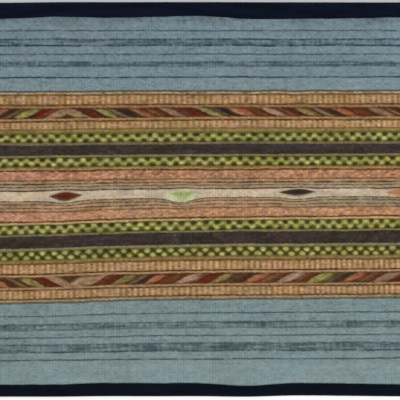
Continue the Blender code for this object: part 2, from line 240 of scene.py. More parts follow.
# Stripes in the weave: depth below the upper fold in mm where each starts, kind, yarn and second yarn
STRIPES = (
    (0.0, "plain", "blue"), (35.2, "broken", "deep_blue", "blue"),
    (37.0, "plain", "blue"), (46.0, "broken", "slate", "blue"),
    (48.2, "faint", "deep_blue", "blue"), (53.9, "broken", "night", "blue"),
    (56.0, "plain", "blue"), (65.0, "broken", "deep_blue", "blue"),
    (66.9, "plain", "blue"), (74.8, "filled", "deep_blue", "blue"),
    (82.0, "plain", "blue"), (94.0, "broken", "night", "blue"),
    (95.9, "plain", "pale_blue"), (111.4, "plain", "grey_green"),
    (113.7, "dashed", "pale_sand", "ochre"), (115.9, "dashed", "bark", "ochre"),
    (118.1, "ribs", "tan", "ochre"), (128.5, "dashed", "walnut", "ochre"),
    (130.4, "plain", "dull_cream"), (133.0, "rope", "beige"),
    (145.8, "plain", "buff"), (148.1, "dashed", "walnut", "ochre"),
    (150.6, "ribs", "light_tan", "ochre"), (158.9, "dashed", "khaki", "ochre"),
    (160.8, "plain", "olive_cream"), (163.0, "plain", "olive_edge"),
    (165.1, "spots", "light_green", "dark_green"), (176.9, "plain", "grey_cream"),
    (179.7, "streaked", "charcoal", "plum"), (192.9, "plain", "pale_grey"),
    (195.2, "spots", "light_green", "dark_green"), (207.4, "plain", "olive_brown"),
    (208.9, "plain", "buff"), (211.0, "dashed", "brown", "amber"),
    (213.2, "flecked", "peach", "peach_light"), (222.9, "dashed", "chestnut", "peach"),
    (225.1, "plain", "sand"), (227.3, "line", "walnut", "mauve"),
    (229.3, "plain", "mauve"), (231.2, "line", "taupe", "mauve"),
    (232.5, "plain", "grey_sand"), (235.6, "line", "taupe", "mauve"),
    (237.3, "lens", "ivory"), (247.3, "line", "taupe", "mauve"),
    (248.6, "plain", "pale_mauve"), (251.0, "line", "taupe", "mauve"),
    (252.5, "plain", "mauve"), (255.5, "line", "taupe", "mauve"),
    (257.0, "plain", "mauve"), (259.4, "dashed", "chestnut", "peach"),
    (261.4, "flecked", "apricot", "peach_light"), (271.5, "dashed", "brown", "amber"),
    (273.7, "plain", "wheat"), (275.9, "spots", "light_green", "dark_green"),
    (289.2, "plain", "sage"), (291.2, "streaked", "charcoal", "plum"),
    (306.8, "plain", "mist"), (309.5, "spots", "light_green", "dark_green"),
    (321.6, "dashed", "olive_brown", "ochre"), (323.1, "plain", "olive_sand"),
    (325.5, "dashed", "bark", "ochre"), (328.0, "ribs", "tan", "ochre"),
    (338.6, "dashed", "dark_brown", "ochre"), (340.6, "plain", "cream"),
    (342.9, "rope", "beige"), (356.6, "plain", "fawn"),
    (358.7, "dashed", "walnut", "ochre"), (360.9, "ribs", "dull_tan", "ochre"),
    (370.3, "dashed", "walnut", "ochre"), (372.5, "plain", "pale_stone"),
    (374.9, "plain", "grey_olive"), (377.6, "plain", "lake"),
    (392.8, "broken", "deep_lake", "lake"), (394.6, "plain", "lake"),
    (404.2, "broken", "deep_lake", "lake"), (406.0, "faint", "dim_lake", "lake"),
    (411.4, "broken", "soft_lake", "lake"), (413.2, "plain", "lake"),
    (421.2, "broken", "deep_lake", "lake"), (423.0, "plain", "lake"),
    (430.8, "broken", "deep_lake", "lake"), (432.8, "filled", "deep_lake", "lake"),
    (440.2, "broken", "slate", "lake"), (442.2, "plain", "lake"),
    (450.7, "broken", "slate", "lake"), (452.5, "plain", "lake"),
)
STRIPES_END_MM = 500.0
HALF_WAY_MM = 240.0  # stripes that start above it belong to the upper half

# Spotted stripes by their start: depths in mm of the rows of dark spots and of light ones, a warp where the
# upper row has a light spot, and which spots a zigzag joins
SPOT_ROWS = {
    165.1: ((167.5, 174.9), (168.8, 172.8), 3, "light"),
    195.2: ((197.5, 205.6), (199.2, 203.4), 2, "light"),
    275.9: ((278.9, 287.0), (280.0, 284.8), 2, "light"),
    309.5: ((312.6, 319.2), (313.5, 318.7), 0, "dark"),
}

# Ribbed stripes by their start: contrast, and whether the dark columns are the even warps or the odd ones
RIBS = {118.1: (0.85, 0), 150.6: (0.6, 0), 328.0: (0.92, 1), 360.9: (0.85, 1)}

# Lengths of the cloth's mesh: name, start and end, each along a weft where the colour changes
CUTS_MM = (
    ("cloth_upper_ground", 0.0, 112.2),
    ("cloth_upper_border", 112.2, 208.9),
    ("cloth_middle", 208.9, 291.2),
    ("cloth_lower_border", 291.2, 392.8),
    ("cloth_lower_ground", 392.8, 500.0),
)


def linear(colour):
    """Linear values of an 8-bit sRGB colour."""
    c = np.array(colour, float) / 255
    return np.where(c <= 0.04045, c / 12.92, ((c + 0.055) / 1.055) ** 2.4)


YARN = {name: linear(colour) for name, colour in YARNS.items()}


def smooth(t):
    t = np.clip(t, 0.0, 1.0)
    return t * t * (3 - 2 * t)


def ramp(value, start_mm, width_mm):
    """Rises from 0 at the start to 1 a width further on, which lies before it if the width is negative."""
    return smooth((value - start_mm * MM) / (width_mm * MM))


def mix(a, b, share):
    return a + (b - a) * np.asarray(share)[..., None]


def shade(colour, amount):
    return colour * np.asarray(amount)[..., None]


FIELD_CELLS = 256
FIELD_START = (500.37, 500.71)  # so that no place on the cloth has a negative cell
EACH_CELLS = 512


def random_table(cells, seed):
    return np.random.default_rng(seed).uniform(-1, 1, (cells, cells))


def field(x, y, size_x, size_y, seed):
    """Smooth random values from -1 to 1 that change over size_x and size_y."""
    table = random_table(FIELD_CELLS, seed)
    a = np.asarray(x) / size_x + FIELD_START[0]
    b = np.asarray(y) / size_y + FIELD_START[1]
    i = np.floor(a).astype(int)
    j = np.floor(b).astype(int)
    s = smooth(a - i)
    t = smooth(b - j)
    left, right, low, high = (cell % FIELD_CELLS for cell in (i, i + 1, j, j + 1))
    near = table[left, low] * (1 - s) + table[right, low] * s
    far = table[left, high] * (1 - s) + table[right, high] * s
    return near * (1 - t) + far * t


def each(x, y, seed):
    """A random value from -1 to 1 for each pair of whole numbers."""
    return random_table(EACH_CELLS, seed)[x % EACH_CELLS, y % EACH_CELLS]


def mottled(x, depth, mean, *terms):
    """The mean and smooth random terms around it: strength, sizes in mm and seed of each."""
    fields = (strength * field(x, depth, wide * MM, high * MM, seed) for strength, wide, high, seed in terms)
    return sum(fields, mean)


EDGES = np.concatenate(([0.0], np.cumsum([band[1] for band in BANDS]))) * MM
DROPS = np.array([band[3] for band in BANDS] + [LAST_DROP])
IVORY = [band[0] for band in BANDS].index("ivory")
IVORY_MIDDLE = (EDGES[IVORY] + EDGES[IVORY + 1]) / 2
STRIPE_EDGES_MM = [row[0] for row in STRIPES] + [STRIPES_END_MM]


def across(column, x):
    """The named station value at x, by a smooth curve through the stations."""
    k = STATION_COLUMNS.index(column)
    values = np.array([row[k] for row in STATIONS_MM])
    last = len(values) - 1
    s = (x / LENGTH + 0.5) * last
    i = np.clip(np.floor(s).astype(int), 0, last - 1)
    before, start, end, after = (values[np.clip(i + n, 0, last)] for n in (-1, 0, 1, 2))
    t = np.clip(s - i, 0.0, 1.0)
    slope_in = (end - before) / 2
    slope_out = (after - start) / 2
    curve = 3 * (end - start) - 2 * slope_in - slope_out
    twist = 2 * (start - end) + slope_in + slope_out
    return (start + t * (slope_in + t * (curve + t * twist))) * MM


def lens_share(x, reach, column=None):
    """1 at the middle of a lens, or that column's value, fading to 0 along the weft."""
    share = 0.0
    for i, name in enumerate(LENS_YARNS):
        value = LENSES[name][LENS_COLUMNS.index(column)] * MM if column else 1.0
        share = share + value * np.exp(-(((x - LENS_FIRST_X - i * LENS_PITCH) / reach) ** 2))
    return share


def weft_y(x, depth):
    """Where the weft that lies at this depth in the weave crosses x."""
    down = lens_share(x, LENS_REACH, "push_down_mm")
    push = np.where(depth > IVORY_MIDDLE, down, -LENS_PUSH_UP * lens_share(x, LENS_REACH))
    away = np.abs(depth - IVORY_MIDDLE) / LENS_FADE
    nearness = smooth(away * 4) * np.exp(-away * away)
    drop = across("sag", x) * np.interp(depth, EDGES, DROPS) + push * nearness
    inside = smooth(depth / WANDER_FADE) * smooth((HEIGHT - depth) / WANDER_FADE)
    y = HEIGHT / 2 - depth - drop + WANDER * inside * mottled(x, depth, 0.0, *WANDER_TERMS)
    upper = HEIGHT / 2 - across("upper_in", x) - EDGE_DEPTH
    lower = across("lower_in", x) - HEIGHT / 2 + EDGE_DEPTH
    return np.clip(y, lower, upper)


def base_height(depth):
    """The band's height above the ground weave, with a soft step at each edge."""
    height = np.full_like(depth, BANDS[0][2] * MM)
    for i in range(1, len(BANDS)):
        step = (BANDS[i][2] - BANDS[i - 1][2]) * MM
        height += step * smooth((depth - EDGES[i]) / STEP_WIDTH + 0.5)
    return height


def underside(y):
    """Height of the cloth's underside: level, and lifted over the back leg of each tape."""
    depth = HEIGHT / 2 - np.abs(y)
    return LIFT * np.clip((RISE_FOOT - depth) / (RISE_FOOT - RISE_TOP), 0.0, 1.0)


def selvedge_rounding(x):
    """1 over the cloth, falling to a half at each selvedge."""
    t = np.clip((CLOTH_WIDTH / 2 - np.abs(x)) / SELVEDGE_ROUNDING, 0.0, 1.0)
    return 0.5 + 0.5 * np.sqrt(1 - (1 - t) ** 2)


def selvedge_x(x, depth):
    """The selvedges wander a little, because each weft turns there by hand."""
    side = np.sign(x)
    long_wave, short_wave = (2 * pi * depth / length for length in SELVEDGE_WAVE_LENGTHS)
    wave = np.sin(long_wave) + np.sin(short_wave + side) / 2
    nearness = smooth(1 - (LENGTH / 2 - np.abs(x)) / SELVEDGE_REACH)
    return x + side * SELVEDGE_WAVE * wave * nearness


def lay_picks():
    """Depth of each pick's edges, and the stripe that each pick belongs to."""
    edges = [0.0]
    owner = []
    for i, (start_mm, end_mm) in enumerate(zip(STRIPE_EDGES_MM, STRIPE_EDGES_MM[1:])):
        width = (end_mm - start_mm) * MM
        count = max(1, round(width / PICK))
        edges += [start_mm * MM + width * (n + 1) / count for n in range(count)]
        owner += [i] * count
    return np.array(edges), np.array(owner)


PICK_EDGES, STRIPE_OF = lay_picks()
PICKS = len(STRIPE_OF)


def depth_of(q):
    return np.interp(q, np.arange(PICKS + 1), PICK_EDGES)


def pick_at(depth):
    return np.interp(depth, PICK_EDGES, np.arange(PICKS + 1))


def bead_at(u, q):
    """Warp and pick whose bead shows at this place, as whole numbers, and how far the bead's middle is."""
    warp = np.clip(np.round(u), 0, WARPS - 1).astype(int)
    odd = warp % 2
    pick = odd + 2 * np.round((q - 0.5 - odd) / 2).astype(int)
    return warp, np.clip(pick, 0, PICKS - 1), q - 0.5 - pick


# Patterns
def is_upper(i):
    return STRIPES[i][0] < HALF_WAY_MM


def down_stripe(i, depth):
    """How far down stripe i each depth lies, from 0 to 1."""
    start_mm, end_mm = STRIPE_EDGES_MM[i : i + 2]
    return np.clip((depth - start_mm * MM) / ((end_mm - start_mm) * MM), 0.0, 1.0)


def rope_place(i, x, depth):
    """How many leaves out from the mirror line this place lies, and how far down the band."""
    t = down_stripe(i, depth)
    right = x > ROPE_MIRROR_X
    lean, upper_side = (ROPE_LEAN, 80.0) if is_upper(i) else (-ROPE_LEAN, 0.0)
    late = right & (not is_upper(i))
    pitch, first_edge = (np.where(late, *pair[::-1]) for pair in (ROPE_PITCHES, ROPE_FIRST_EDGES))
    slant = 0.5 - np.sin(np.arcsin(1 - 2 * t) / 3)
    leaf = (np.abs(x - ROPE_MIRROR_X) - lean * (slant - 0.5)) / pitch + first_edge
    side = np.where(right, 40.0, 0.0) + upper_side
    stray = ROPE_UNEVEN * field(leaf + side, t, 1.3, 1.6, 41) + 0.04 * field(x, depth, 5 * MM, 2.4 * MM, 40)
    return leaf + stray * smooth(leaf - 0.4), t


def rope_colour(i, x, depth):
    """Colours of the leaves, which are dark along their edges and paler along a streak."""
    leaf, t = rope_place(i, x, depth)
    upper = is_upper(i)
    right = x > ROPE_MIRROR_X
    side = np.where(right, 60, 0) + (40 if upper else 0)
    number = np.floor(leaf).astype(int)
    part = leaf - number
    inside = (number >= 1) * 1.0
    turn = (number - 1) % (len(ROPE_YARNS) - 1)
    picked = np.array([YARN[name] for name in ROPE_YARNS])[np.where(number < 1, 0, 1 + turn)]
    picked = mix(picked, YARN["maroon"], 0.45 * inside * np.clip(each(number, side, 42) + 0.2, 0, 1))
    dull_red = (turn == 0) & (right | (not upper))
    picked = mix(picked, YARN["dark_brown"], 0.4 * dull_red * inside)
    streak = field(leaf * 5 + side, t * 2, 1.0, 1.0, 43)
    taper = ROPE_TAPER * (2 * t - 1) ** 2
    (far, far_width), (near, near_width) = ROPE_DARK_EDGES
    far_side = smooth((part - far + taper) / far_width)
    near_side = 0.8 * smooth((near + taper - part) / near_width)
    dark = np.maximum(far_side, near_side) * (0.95 + 0.3 * streak) * inside
    chance = each(number, side + 1, 44)
    strength = np.where(np.isin(turn, ROPE_TWO_TONED), 0.45 + 0.3 * chance, 0.5 * chance)
    middle, half_width = ROPE_PALE_STREAK
    pale = smooth(1 - np.abs(part - middle) / half_width) * np.clip(strength, 0, 0.8) * inside
    picked = mix(mix(picked, YARN["beige"], pale), YARN["dark_brown"], np.clip(0.85 * dark, 0, 1))
    flat_end = t if upper else 1 - t
    height, reach, shift = ROPE_WEDGES[upper]
    aside = np.abs(x - ROPE_MIRROR_X - shift) / reach
    wedge = smooth(2.2 * ((flat_end - 1 + height) / height - aside))
    picked = mix(picked, YARN["dark_brown"], 0.95 * wedge * (1 - inside))
    border = smooth(1 - np.minimum(t, 1 - t) * 3.4) * mottled(x, depth, 0.66, (0.6, 8, 4, 45))
    picked = mix(picked, YARN["brown"], np.clip(border, 0, 1))
    return shade(picked, mottled(x, depth, 1.0 if upper else 1.06, (0.2, 6, 1.3, 46)) + 0.18 * streak)


def lens_colour(x, depth):
    """Ivory with a lens in it now and then, its points and outline in a dark yarn."""
    below = depth - IVORY_MIDDLE
    colour = mix(YARN["ivory"], YARN["blush"], np.clip(mottled(x, depth, 0.35, (0.6, 30, 5, 47)), 0, 1))
    # painted light and shade: the ivory band is lighter towards its upper edge and darker towards its lower
    # edge
    colour = shade(colour, 1 - 0.06 * np.clip(below / (4 * MM), -1, 1))
    edge_blur, outline_blur, core_blur = LENS_BLURS
    for i, name in enumerate(LENS_YARNS):
        half_length, half_height, low, _, rise = (value * MM for value in LENSES[name][:5])
        core_yarn, edge_yarn, tip_yarn = LENSES[name][5:]
        along = np.abs((x - LENS_FIRST_X - i * LENS_PITCH) / half_length)
        half = half_height * np.clip(1 - along**2, 0, 1)
        away = np.abs(below - low)
        inside = smooth(0.5 + (half - away) / edge_blur) * (along < 1)
        outline = smooth(0.5 + (half + LENS_OUTLINE - away) / outline_blur) * smooth((1 - along) * 3)
        off_core = np.abs(below - low + rise)
        core = smooth((0.85 * half - 0.4 * rise - off_core) / core_blur) * smooth((0.75 - along) * 3)
        tip = smooth((along - 0.48) * 3.2)
        body = mix(mix(YARN[edge_yarn], YARN[core_yarn], core), YARN[tip_yarn], 0.8 * tip)
        colour = mix(mix(colour, YARN["ochre"], 0.3 * outline), body, inside)
    return colour


def spot_row(u, depth, place, offset, size, seeds):
    """Share of yarn in one row of oval spots, each a little off its place."""
    n = (u - offset) / SPOT_WARPS
    spot = np.round(n).astype(int)
    stray, down, wide, strong = (each(spot, seed, seeds[1]) for seed in range(seeds[0], seeds[0] + 4))
    side = (n - spot - 0.08 * stray) * SPOT_WARPS * WARP / (size[0] * (1 + 0.16 * wide))
    rise = (depth - place * MM - 0.5 * MM * down) / size[1]
    return np.exp(-((side**2 + rise**2) ** 2.0)) * (0.84 + 0.16 * strong)


def spot_shares(i, u, depth):
    """Share of light and of dark yarn in the spots; the lower row is set half a spot aside."""
    start_mm = STRIPES[i][0]
    dark_places, light_places, shift, linked = SPOT_ROWS[start_mm]
    seed = int(start_mm)
    half = SPOT_WARPS / 2
    light = spot_row(u, depth, light_places[0], shift, LIGHT_SPOT, (seed, 50))
    light = light + spot_row(u, depth, light_places[1], shift + half, LIGHT_SPOT, (seed, 51))
    dark = spot_row(u, depth, dark_places[0], shift + half, DARK_SPOT, (seed, 52))
    dark = dark + spot_row(u, depth, dark_places[1], shift, DARK_SPOT, (seed, 53))
    first, second = light_places if linked == "light" else dark_places[::-1]
    n = (u - shift) / SPOT_WARPS
    zigzag = first + (second - first) * 2 * np.abs(n - np.round(n))
    link = np.exp(-(((depth - zigzag * MM) / SPOT_LINK) ** 2))
    if linked == "light":
        return np.maximum(light, 0.55 * link), dark * (1 - 0.4 * link)
    return light, np.maximum(dark * (1 - 0.6 * light), 0.85 * link)


def spots_colour(i, u, x, depth):
    """Light green spots, some greener and some paler, and dark ones on a moss ground; the dark ones are
    partly dark green yarn and partly painted shade of their hollows.
    """
    light, dark = spot_shares(i, u, depth)
    pale = np.clip(mottled(x, depth, 0.4, (0.8, 13, 5, 48)), 0, 1)
    green = np.clip(mottled(x, depth, -0.05, (0.9, 38, 6, 53)), 0, 0.6)
    spot = mix(mix(YARN[STRIPES[i][2]], YARN["pale_moss"], pale), YARN["leaf"], green)
    ground = mix(YARN["moss"], spot, np.clip(light, 0, 1))
    # painted shade: the dark spots lie in hollows, and their colour is partly the yarn and partly that shade
    return mix(ground, YARN[STRIPES[i][3]], np.clip(1.12 * dark - 0.3 * light, 0, 1))


def ribs_colour(i, u, warp, pick, x, depth):
    """Light and dark columns of one warp each, the light ones now pinker and now more olive."""
    contrast, dark_warp = RIBS[STRIPES[i][0]]
    seed = int(STRIPES[i][0])
    column = 0.5 + 0.5 * np.cos(pi * (u - dark_warp))
    share = 0.44 + 0.92 * contrast * (column**1.7 - 0.42) + 0.26 * field(x, pick, 12 * MM, 1.0, 33)
    share = share + 0.12 * each(warp, seed, 17) + 0.10 * each(warp, pick // 5, 17)
    share = share + 0.08 - 0.16 * np.sin(pi * down_stripe(i, depth))
    hue = mottled(x, depth, 0.0, (1.0, 16, 9, 20)) + 0.3 * each(warp, seed + 1, 20)
    light = mix(YARN[STRIPES[i][2]], YARN["pink_tan"], np.clip(hue, 0, 1))
    light = mix(light, YARN["olive_tan"], np.clip(-0.5 * hue, 0, 0.4))
    return mix(light, YARN[STRIPES[i][3]], np.clip(share, 0, 1))


def dark_yarns(i, a, b, x, depth):
    """The two yarns of a dark stripe: patchy, the second one bluer in places and with pale lint in it."""
    patch = (1.0 if is_upper(i) else LOWER_DARK) * mottled(x, depth, 1.0, (0.3, 9, 3.2, 60))
    ink = mottled(x, depth, 0.1, (0.6, 52, 8, 54), (0.2, 9, 3, 55))
    lint = smooth((mottled(x, depth, -0.6, (1.0, 3.4, 2.0, 56))) * 3)
    b = mix(shade(b, patch), YARN["ink"], np.clip(ink, 0, 1))
    b = shade(b, mottled(x, depth, 1.0, (0.16, 7, 2.4, 59)))
    return shade(a, patch), mix(b, YARN["grey_cream"], 0.5 * lint)


def stripe_colour(i, u, warp, pick, x, depth):
    """Colours of stripe i at these places."""
    kind = STRIPES[i][1]
    if kind == "spots":
        return spots_colour(i, u, x, depth)
    if kind == "ribs":
        return ribs_colour(i, u, warp, pick, x, depth)
    if kind == "rope":
        return rope_colour(i, x, depth)
    if kind == "lens":
        return lens_colour(x, depth)
    left, right = (ramp(x, *fade) for fade in LICHEN_FADES)
    grey = np.where(depth < IVORY_MIDDLE, 0.75 * left + 0.5 * right, 0.7 * right)
    mauve = mix(YARN["mauve"], YARN["lichen"], grey)
    a, b = (mauve if name == "mauve" else YARN[name] for name in (STRIPES[i][2], STRIPES[i][-1]))
    mean, terms, (strength, seed) = SHARES[kind]
    along = x + FLECK_SLANT * depth if kind == "flecked" else x
    share = mottled(along, depth, mean, *terms) + strength * each(warp, pick, seed)
    if kind == "flecked":
        a = mix(a, YARN["rose"], 0.75 * ramp(x, *ROSE_FADE))
        a = shade(a, mottled(x, depth, 1.0, (0.22, 4, 1.6, 57)))
    elif kind == "streaked":
        start_mm, end_mm = STRIPE_EDGES_MM[i : i + 2]
        share = share * (1 - 0.8 * ramp(np.minimum(depth - start_mm * MM, end_mm * MM - depth), 1.6, -1.2))
        a, b = dark_yarns(i, a, b, x, depth)
    return mix(a, b, np.clip(share, 0, 1))


def woven_colour(owner, u, warp, pick, x, depth):
    """Colours of these places, each in the stripe that its owner pick belongs to."""
    stripe = STRIPE_OF[owner]
    colour = np.zeros(x.shape + (3,))
    for i in np.unique(stripe):
        m = stripe == i
        colour[m] = stripe_colour(i, u[m], warp[m], pick[m], x[m], depth[m])
    return colour


def cloth_colour(u, q, x):
    """The yarn colour of each point, with the small differences between one length of yarn and the next, and
    painted shade beside the upper tape.
    """
    warp, pick, _ = bead_at(u, q)
    level = np.clip(np.floor(q), 0, PICKS - 1).astype(int)
    depth = depth_of(q)
    from_ivory = np.abs(depth - IVORY_MIDDLE)
    lines = ramp(from_ivory, *LINES_FADE)
    ivory = ramp(from_ivory, *IVORY_FADE)
    begun, not_ended = (ramp(depth, *fade) for fade in BORDER_FADES)
    border = begun * not_ended * (1 - 0.6 * ivory)
    straight, beaded = (woven_colour(owner, u, warp, pick, x, depth) for owner in (level, pick))
    colour = mix(straight, beaded, BEAD_SHARE + (LINES_BEAD_SHARE - BEAD_SHARE) * lines)
    tone_and_shade = mottled(x, depth, 1.0, *TONE_TERMS) + 0.06 * field(x, pick, 22 * MM, 1.0, 21)
    tone_and_shade = tone_and_shade + 0.02 * each(warp, pick, 23) + lines * mottled(x, depth, 0.0, (0.14, 15, 4, 61))
    # painted shade beside the upper tape: patchy here, and steady in one of the tone places below
    tone_and_shade = tone_and_shade - mottled(x, depth, TAPE_SHADE_MEAN, TAPE_SHADE_PATCHES) * ramp(depth, *TAPE_SHADE_FADE)
    for amount, down, along in TONE_AND_SHADE_PLACES:
        tone_and_shade = tone_and_shade + amount * ramp(depth, *down) * (ramp(x, *along) if along else 1.0)
    tone_and_shade = tone_and_shade + border * (0.15 * each(warp, pick, 31) + 0.15 * field(x, pick, 6 * MM, 1.0, 32))
    speck = mottled(x, depth, 0.0, SPECKS)
    specks = 0.14 * smooth((-speck - 0.45) * 3) - 0.26 * smooth((speck - 0.42) * 3)
    tone_and_shade = tone_and_shade + specks * (1 - 0.5 * (ivory + ramp(depth, *SPECKS_FADE)))
    warm = mottled(x, depth, 0.0, *WARMTH_TERMS) * (0.5 + 0.5 * border)
    hue = np.stack((1 + warm, np.ones_like(warm), 1 - warm), axis=-1)
    return np.clip(shade(colour, tone_and_shade) * hue, 0.002, 0.95)


def pattern_height(u, q, x):
    """Relief of the ribs, beads, spots, ropes and lenses."""
    warp, pick, away = bead_at(u, q)
    depth = depth_of(q)
    rib = 0.5 + 0.5 * np.cos(2 * pi * (u - warp))
    height = RIB_RELIEF * (rib - 0.5) + BEAD_RELIEF * (0.4 + 0.6 * rib) * np.cos(pi * away)
    stripe = STRIPE_OF[pick]
    for i in np.unique(stripe):
        start_mm, kind = STRIPES[i][:2]
        m = stripe == i
        if kind == "ribs":
            light = warp[m] % 2 != RIBS[start_mm][1]
            height[m] += COLUMN_RELIEF * np.where(light, 0.5, -0.5) * rib[m]
        elif kind == "spots":
            light, dark = spot_shares(i, u[m], depth[m])
            height[m] += SPOT_RELIEF * (light - SPOT_HOLLOW * dark)
        elif kind == "rope":
            leaf, t = rope_place(i, x[m], depth[m])
            height[m] += ROPE_RAISED * (np.sin(pi * leaf) ** 2 - 0.3) * np.sin(pi * t)
    lens = np.clip(1 - ((depth - IVORY_MIDDLE) / LENS_SWELLING) ** 2, 0, 1) * lens_share(x, LENS_CORE)
    return height + LENS_RAISED * lens


# Mesh of the cloth: three columns to each warp on the face and two on the back
COLUMNS = np.concatenate(([-0.5], np.arange(-1, 3 * (WARPS - 1) + 2) / 3, [WARPS - 0.5]))
BACK_COLUMNS = np.arange(-1, 2 * WARPS) / 2


def all_rows():
    """Every row of the mesh in picks: three to each bead, and a few where the tapes hide the cloth."""
    first = int(np.ceil((pick_at(HIDDEN_DEPTH[0]) - 0.5) * ROWS_PER_PICK))
    last = int(np.floor((pick_at(HEIGHT - HIDDEN_DEPTH[1]) - 0.5) * ROWS_PER_PICK))
    fine = 0.5 + np.arange(first, last + 1) / ROWS_PER_PICK
    before = pick_at(np.linspace(EDGE_DEPTH, depth_of(fine[0]), HIDDEN_ROWS + 1)[:-1])
    after = pick_at(np.linspace(depth_of(fine[-1]), HEIGHT - EDGE_DEPTH, HIDDEN_ROWS + 1)[1:])
    return np.concatenate((before, fine, after))


ROWS = all_rows()
RISE_ROWS = np.concatenate([d + np.array([RISE_TOP, RISE_FOOT]) * s for d, s in ((0, 1), (HEIGHT, -1))])
BACK_ROW_ROOM = 0.8  # least distance of a row of the back from its ends, in picks


def back_rows(low, high):
    """Rows of the back between two rows of the face: along each stripe's edge, and closer in a pattern."""
    places = [ROWS[low], ROWS[high]] + list(pick_at(RISE_ROWS))
    for i, stripe in enumerate(STRIPES):
        first, last = np.flatnonzero(STRIPE_OF == i)[[0, -1]]
        step = BACK_PATTERN_STEP if stripe[1] in ("spots", "rope", "lens") else BACK_PLAIN_STEP
        count = max(1, round((last + 1 - first) / step))
        places += list(np.linspace(first, last + 1, count + 1)[:-1])
    places = np.unique(np.clip(places, ROWS[low], ROWS[high]))
    keep = (places - ROWS[low] > BACK_ROW_ROOM) & (ROWS[high] - places > BACK_ROW_ROOM)
    keep[[0, -1]] = True
    return places[keep]


def surface(columns, rows, stagger):
    """Points of the cloth's face and their place in the weave; stagger moves the odd warps' beads."""
    u, q = np.meshgrid(columns, rows)
    if stagger:
        shown = (q > ROWS[HIDDEN_ROWS]) & (q < ROWS[-HIDDEN_ROWS - 1])
        q = q + np.where(np.round(u) % 2 == 1, 1 / 3, 0.0) * shown
    station_x, station_warp = np.transpose(WARP_STATIONS)
    x = np.interp(u + 0.5, station_warp, station_x) * MM
    depth = depth_of(q)
    y = weft_y(x, depth)
    room = CLOTH_WIDTH / 2 - np.abs(x)
    fade = np.clip(room / WARP + 0.35, 0, 1)
    height = (CLOTH_THICKNESS + base_height(depth)) * selvedge_rounding(x)
    z = underside(y) + height + pattern_height(u, q, x) * fade
    turn = TURN * np.cos(pi * bead_at(u, q)[2]) * (np.abs(x) > CLOTH_WIDTH / 2 - WARP / 4)
    shift = mottled(x, depth, 0.0, (0.22 * MM, 9, 24, 7)) * smooth(room / (6 * MM))
    px = selvedge_x(x, depth) + np.sign(x) * turn + shift
    return u, q, x, np.stack((px, y, z), axis=-1)


def add_attribute(piece, name, kind, domain, key, values):
    made = piece.data.attributes.new(name, kind, domain)
    made.data.foreach_set(key, np.asarray(values, np.float32).ravel())


def new_piece(name, points, faces, material, smooth_count):
    """A mesh object whose first faces are shaded smooth."""
    mesh = bpy.data.meshes.new(name)
    mesh.from_pydata(points.tolist(), [], [corners.tolist() for corners in faces])
    mesh.polygons.foreach_set("use_smooth", np.arange(len(faces)) < smooth_count)
    mesh.update()
    mesh.validate()
    mesh.materials.append(material)
    piece = bpy.data.objects.new(name, mesh)
    bpy.context.scene.collection.objects.link(piece)
    return piece


def quads(index):
    """Corners of the quads between the points of a grid, which are given by their numbers."""
    corners = (index[:-1, :-1], index[1:, :-1], index[1:, 1:], index[:-1, 1:])
    return np.stack(corners, axis=-1).reshape(-1, 4)


def nearest(places, targets):
    """Index of the place that lies nearest to each target."""
    return np.abs(places[:, None] - targets).argmin(axis=0)


def wall(face_edge, back_edge, joins, turned):
    """Faces between an edge of the cloth's face and the coarser edge of its back, which meet at the joins."""
    faces = []
    for k in range(len(back_edge) - 1):
        corners = np.concatenate((face_edge[joins[k] : joins[k + 1] + 1], back_edge[[k + 1, k]]))
        faces.append(corners[::-1] if turned else corners)
    return faces


def cloth_piece(name, start_mm, end_mm, material):
    """One closed length of the cloth: woven face, coarser back and the walls between them."""
    low, high = nearest(ROWS, pick_at(np.array((start_mm, end_mm)) * MM))
    face_rows = ROWS[low : high + 1]
    back_places = back_rows(low, high)
    u, q, x, top = surface(COLUMNS, face_rows, True)
    back_u, back_q, back_x, back = surface(BACK_COLUMNS, back_places, False)
    rib = 0.5 - 0.5 * np.cos(2 * pi * (back_u - np.round(back_u)))
    rib[:, [0, -1]] = 0.0
    back[..., 2] = underside(back[..., 1]) + 0.5 * RIB_RELIEF * rib
    points = np.concatenate((top.reshape(-1, 3), back.reshape(-1, 3)))
    on_face = np.arange(u.size).reshape(u.shape)
    on_back = u.size + np.arange(back_u.size).reshape(back_u.shape)
    across_joins = nearest(COLUMNS, BACK_COLUMNS)
    down_joins = nearest(face_rows, back_places)
    face_quads = quads(on_face)
    back_quads = quads(on_back)[:, ::-1]
    faces = [*face_quads, *back_quads]
    faces += wall(on_face[0], on_back[0], across_joins, False)
    faces += wall(on_face[-1], on_back[-1], across_joins, True)
    faces += wall(on_face[:, 0], on_back[:, 0], down_joins, True)
    faces += wall(on_face[:, -1], on_back[:, -1], down_joins, False)
    piece = new_piece(name, points, faces, material, len(face_quads))

    point_colour = [cloth_colour(*place).reshape(-1, 3) for place in ((u, q, x), (back_u, back_q, back_x))]
    corner_colour = np.concatenate(point_colour)[np.concatenate(faces)]
    above = cloth_colour(back_u[1:], back_q[1:] - BACK_INSIDE, back_x[1:])
    below = cloth_colour(back_u[:-1], back_q[:-1] + BACK_INSIDE, back_x[:-1])
    inner = np.stack((below[:, 1:], above[:, 1:], above[:, :-1], below[:, :-1]), axis=2)
    corner_colour[face_quads.size : face_quads.size + back_quads.size] = inner.reshape(-1, 3)
    colour = np.column_stack((corner_colour, np.ones(len(corner_colour))))
    # the yarn colours include painted shade beside the upper tape and in the dark spots
    add_attribute(piece, "yarn", "FLOAT_COLOR", "CORNER", "color", colour)
    weave = [np.stack((a, b, 0 * a), axis=-1).reshape(-1, 3) for a, b in ((u, q), (back_u, back_q))]
    add_attribute(piece, "weave", "FLOAT_VECTOR", "POINT", "vector", np.concatenate(weave))
    return piece


